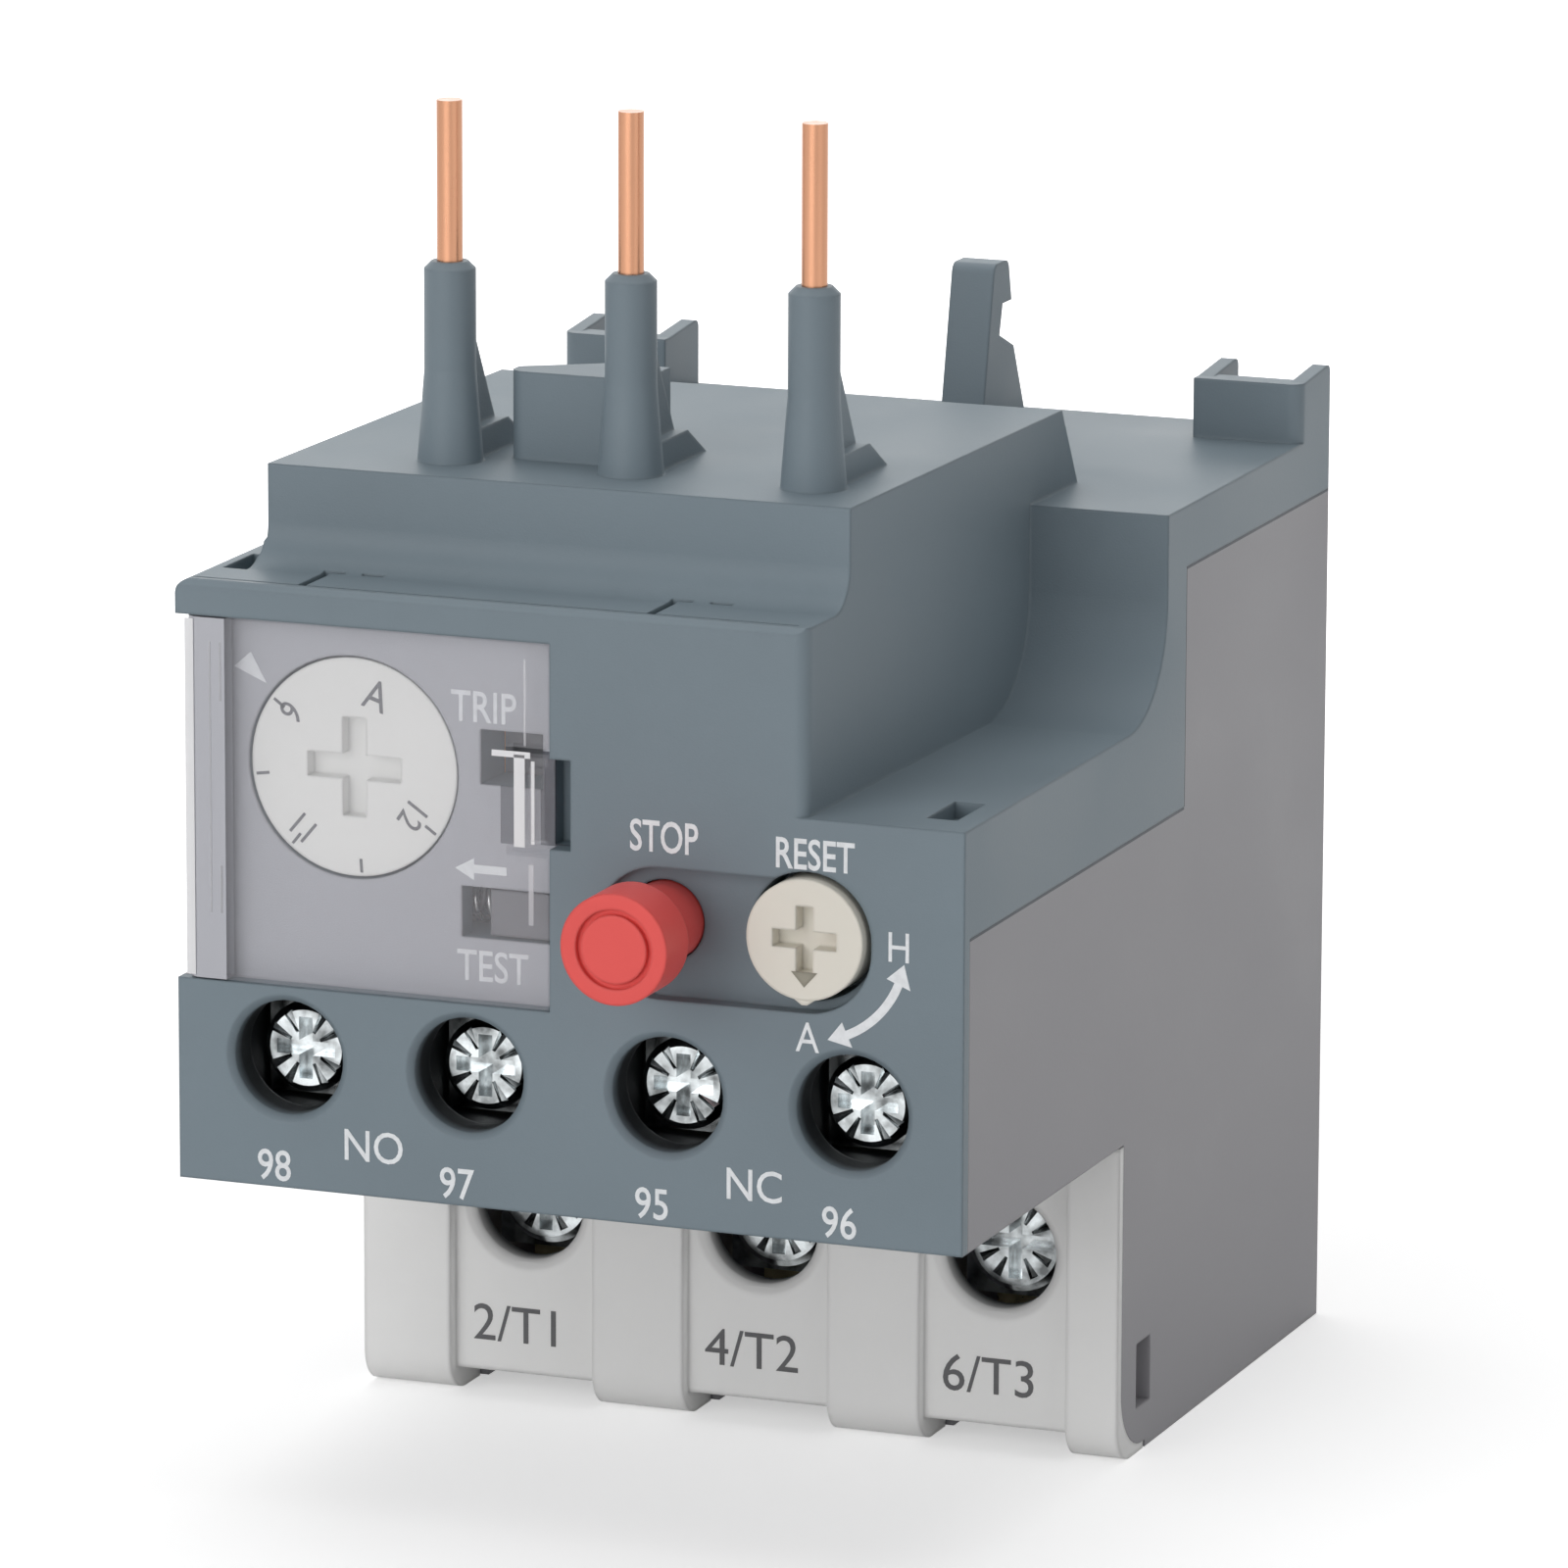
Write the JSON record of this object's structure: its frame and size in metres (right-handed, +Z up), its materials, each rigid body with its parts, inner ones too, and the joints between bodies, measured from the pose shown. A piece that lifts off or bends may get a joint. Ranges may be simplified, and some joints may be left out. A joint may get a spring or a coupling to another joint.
{
  "type": "thermal overload relay",
  "caption": "Three-pole thermal overload relay with plug-in contact pins, adjustable current dial under a clear cover, stop and reset buttons, and screw terminals.",
  "frame": {"origin": "middle of the footprint of the overall box, on the underside of the case", "axes": "+Z up along the contact pins, +Y from the operating face to the rear, +X to the right seen from the front"},
  "size_m": [0.045, 0.0658, 0.076],
  "materials": {
    "grey_blue_plastic": "fine moulded texture",
    "grey_plastic": "fine moulded texture",
    "pale_grey_plastic": "satin",
    "inner_plastic": "matte",
    "clear_plastic": "clear polycarbonate",
    "dial_plastic": "satin",
    "red_plastic": "satin",
    "cream_plastic": "satin",
    "amber_plastic": "satin",
    "test_plastic": "satin",
    "spring_steel": "drawn wire",
    "copper": "bare drawn copper",
    "bimetal": "rolled",
    "heater_ribbon": "rolled resistance ribbon",
    "zinc_steel": "bright zinc plate",
    "tinned_brass": "tin plate"
  },
  "bodies": {
    "housing": {"front_housing": "grey_blue_plastic", "base_housing": "grey_plastic", "terminal_shroud": "pale_grey_plastic", "mechanism_plate": "inner_plastic", "stop_spring": "spring_steel", "reset_spring": "spring_steel", "test_spring": "spring_steel", "trip_lever_pin": "spring_steel", "rocker_pin": "spring_steel", "adjusting_pin": "spring_steel", "contact_pin_1": "copper", "bimetal_strip_1": "bimetal", "heater_winding_1": "heater_ribbon", "main_terminal_1": "tinned_brass", "contact_pin_2": "copper", "bimetal_strip_2": "bimetal", "heater_winding_2": "heater_ribbon", "main_terminal_2": "tinned_brass", "contact_pin_3": "copper", "bimetal_strip_3": "bimetal", "heater_winding_3": "heater_ribbon", "main_terminal_3": "tinned_brass", "aux_terminal_98": "tinned_brass", "aux_terminal_97": "tinned_brass", "aux_terminal_95": "tinned_brass", "aux_terminal_96": "tinned_brass"},
    "dial_cover": {"dial_cover": "clear_plastic"},
    "setting_dial": {"setting_dial": "dial_plastic", "setting_cam": "inner_plastic"},
    "adjusting_lever": {"adjusting_lever": "inner_plastic"},
    "stop_button": {"stop_button": "red_plastic"},
    "reset_plunger": {"reset_plunger": "cream_plastic"},
    "reset_knob": {"reset_knob": "cream_plastic"},
    "test_slider": {"test_slider": "test_plastic"},
    "trip_flag": {"trip_flag": "amber_plastic"},
    "trip_bar": {"trip_bar": "inner_plastic"},
    "trip_lever": {"trip_lever": "inner_plastic"},
    "contact_rocker": {"contact_rocker": "inner_plastic", "moving_contact_nc": "tinned_brass", "moving_contact_no": "tinned_brass", "snap_spring": "spring_steel"},
    "main_clamp_1": {"main_clamp_1": "zinc_steel"},
    "main_screw_1": {"main_screw_1": "zinc_steel"},
    "main_clamp_2": {"main_clamp_2": "zinc_steel"},
    "main_screw_2": {"main_screw_2": "zinc_steel"},
    "main_clamp_3": {"main_clamp_3": "zinc_steel"},
    "main_screw_3": {"main_screw_3": "zinc_steel"},
    "aux_clamp_98": {"aux_clamp_98": "zinc_steel"},
    "aux_screw_98": {"aux_screw_98": "zinc_steel"},
    "aux_clamp_97": {"aux_clamp_97": "zinc_steel"},
    "aux_screw_97": {"aux_screw_97": "zinc_steel"},
    "aux_clamp_95": {"aux_clamp_95": "zinc_steel"},
    "aux_screw_95": {"aux_screw_95": "zinc_steel"},
    "aux_clamp_96": {"aux_clamp_96": "zinc_steel"},
    "aux_screw_96": {"aux_screw_96": "zinc_steel"}
  },
  "joints": [
    {"name": "cover_hinge", "type": "hinge", "parent": "housing", "child": "dial_cover", "pos_m": [-0.0212, -0.022, 0.03923], "axis": [0, 0, -1], "range_deg": [0, 100]},
    {"name": "dial_turn", "type": "hinge", "parent": "housing", "child": "setting_dial", "pos_m": [-0.01275, -0.02515, 0.0413], "axis": [0, 1, 0], "range_deg": [0, 200]},
    {"name": "adjusting_lever_pivot", "type": "hinge", "parent": "housing", "child": "adjusting_lever", "pos_m": [-0.0065, -0.0172, 0.0475], "axis": [0, 1, 0], "range_deg": [0, 14.4]},
    {"name": "stop_press", "type": "slide", "parent": "housing", "child": "stop_button", "axis": [0, 1, 0], "range_m": [0, 0.003], "stiffness_N_per_m": 400, "springref_m": -0.001, "deforming": ["stop_spring"]},
    {"name": "reset_press", "type": "slide", "parent": "housing", "child": "reset_plunger", "axis": [0, 1, 0], "range_m": [0, 0.002], "stiffness_N_per_m": 400, "springref_m": -0.001, "deforming": ["reset_spring"]},
    {"name": "reset_turn", "type": "hinge", "parent": "reset_plunger", "child": "reset_knob", "pos_m": [0.01374, -0.0266, 0.0346], "axis": [0, -1, 0], "range_deg": [0, 90]},
    {"name": "test_push", "type": "slide", "parent": "housing", "child": "test_slider", "axis": [-1, 0, 0], "range_m": [0, 0.0014], "stiffness_N_per_m": 200, "springref_m": -0.0005, "deforming": ["test_spring"]},
    {"name": "trip_bar_slide", "type": "slide", "parent": "housing", "child": "trip_bar", "axis": [1, 0, 0], "range_m": [0, 0.0018]},
    {"name": "trip_flag_slide", "type": "slide", "parent": "housing", "child": "trip_flag", "axis": [1, 0, 0], "range_m": [0, 0.0016]},
    {"name": "trip_lever_pivot", "type": "hinge", "parent": "housing", "child": "trip_lever", "pos_m": [0.0176, 0.0034, 0.024], "axis": [0, 0, -1], "range_deg": [0, 8.3]},
    {"name": "contact_rocker_pivot", "type": "hinge", "parent": "housing", "child": "contact_rocker", "pos_m": [0, -0.0036, 0.024], "axis": [0, 0, 1], "range_deg": [0, 8.05]},
    {"name": "main_clamp_1_slide", "type": "slide", "parent": "housing", "child": "main_clamp_1", "axis": [0, 1, 0], "range_m": [0, 0.0014]},
    {"name": "main_screw_1_turn", "type": "hinge", "parent": "main_clamp_1", "child": "main_screw_1", "pos_m": [-0.01295, 0.00195, 0.01125], "axis": [0, 1, 0], "range_deg": [0, 719.5]},
    {"name": "main_clamp_2_slide", "type": "slide", "parent": "housing", "child": "main_clamp_2", "axis": [0, 1, 0], "range_m": [0, 0.0014]},
    {"name": "main_screw_2_turn", "type": "hinge", "parent": "main_clamp_2", "child": "main_screw_2", "pos_m": [0.0011, 0.00195, 0.01125], "axis": [0, 1, 0], "range_deg": [0, 719.5]},
    {"name": "main_clamp_3_slide", "type": "slide", "parent": "housing", "child": "main_clamp_3", "axis": [0, 1, 0], "range_m": [0, 0.0014]},
    {"name": "main_screw_3_turn", "type": "hinge", "parent": "main_clamp_3", "child": "main_screw_3", "pos_m": [0.01515, 0.00195, 0.01125], "axis": [0, 1, 0], "range_deg": [0, 719.5]},
    {"name": "aux_clamp_98_slide", "type": "slide", "parent": "housing", "child": "aux_clamp_98", "axis": [0, 1, 0], "range_m": [0, 0.0014]},
    {"name": "aux_screw_98_turn", "type": "hinge", "parent": "aux_clamp_98", "child": "aux_screw_98", "pos_m": [-0.01618, -0.024, 0.0253], "axis": [0, 1, 0], "range_deg": [0, 719.5]},
    {"name": "aux_clamp_97_slide", "type": "slide", "parent": "housing", "child": "aux_clamp_97", "axis": [0, 1, 0], "range_m": [0, 0.0014]},
    {"name": "aux_screw_97_turn", "type": "hinge", "parent": "aux_clamp_97", "child": "aux_screw_97", "pos_m": [-0.0057, -0.024, 0.0253], "axis": [0, 1, 0], "range_deg": [0, 719.5]},
    {"name": "aux_clamp_95_slide", "type": "slide", "parent": "housing", "child": "aux_clamp_95", "axis": [0, 1, 0], "range_m": [0, 0.0014]},
    {"name": "aux_screw_95_turn", "type": "hinge", "parent": "aux_clamp_95", "child": "aux_screw_95", "pos_m": [0.0057, -0.024, 0.0253], "axis": [0, 1, 0], "range_deg": [0, 719.5]},
    {"name": "aux_clamp_96_slide", "type": "slide", "parent": "housing", "child": "aux_clamp_96", "axis": [0, 1, 0], "range_m": [0, 0.0014]},
    {"name": "aux_screw_96_turn", "type": "hinge", "parent": "aux_clamp_96", "child": "aux_screw_96", "pos_m": [0.01618, -0.024, 0.0253], "axis": [0, 1, 0], "range_deg": [0, 719.5]}
  ],
  "couplings": [
    {"joint": "adjusting_lever_pivot", "follows": "dial_turn", "ratio": 0.0716},
    {"joint": "trip_flag_slide", "follows": "trip_bar_slide", "ratio": 0.88879},
    {"joint": "trip_lever_pivot", "follows": "trip_bar_slide", "rad_per_m": 80},
    {"joint": "contact_rocker_pivot", "follows": "trip_bar_slide", "rad_per_m": 77.5},
    {"joint": "main_screw_1_turn", "follows": "main_clamp_1_slide", "rad_per_m": 8969},
    {"joint": "main_screw_2_turn", "follows": "main_clamp_2_slide", "rad_per_m": 8969},
    {"joint": "main_screw_3_turn", "follows": "main_clamp_3_slide", "rad_per_m": 8969},
    {"joint": "aux_screw_98_turn", "follows": "aux_clamp_98_slide", "rad_per_m": 8969},
    {"joint": "aux_screw_97_turn", "follows": "aux_clamp_97_slide", "rad_per_m": 8969},
    {"joint": "aux_screw_95_turn", "follows": "aux_clamp_95_slide", "rad_per_m": 8969},
    {"joint": "aux_screw_96_turn", "follows": "aux_clamp_96_slide", "rad_per_m": 8969}
  ]
}
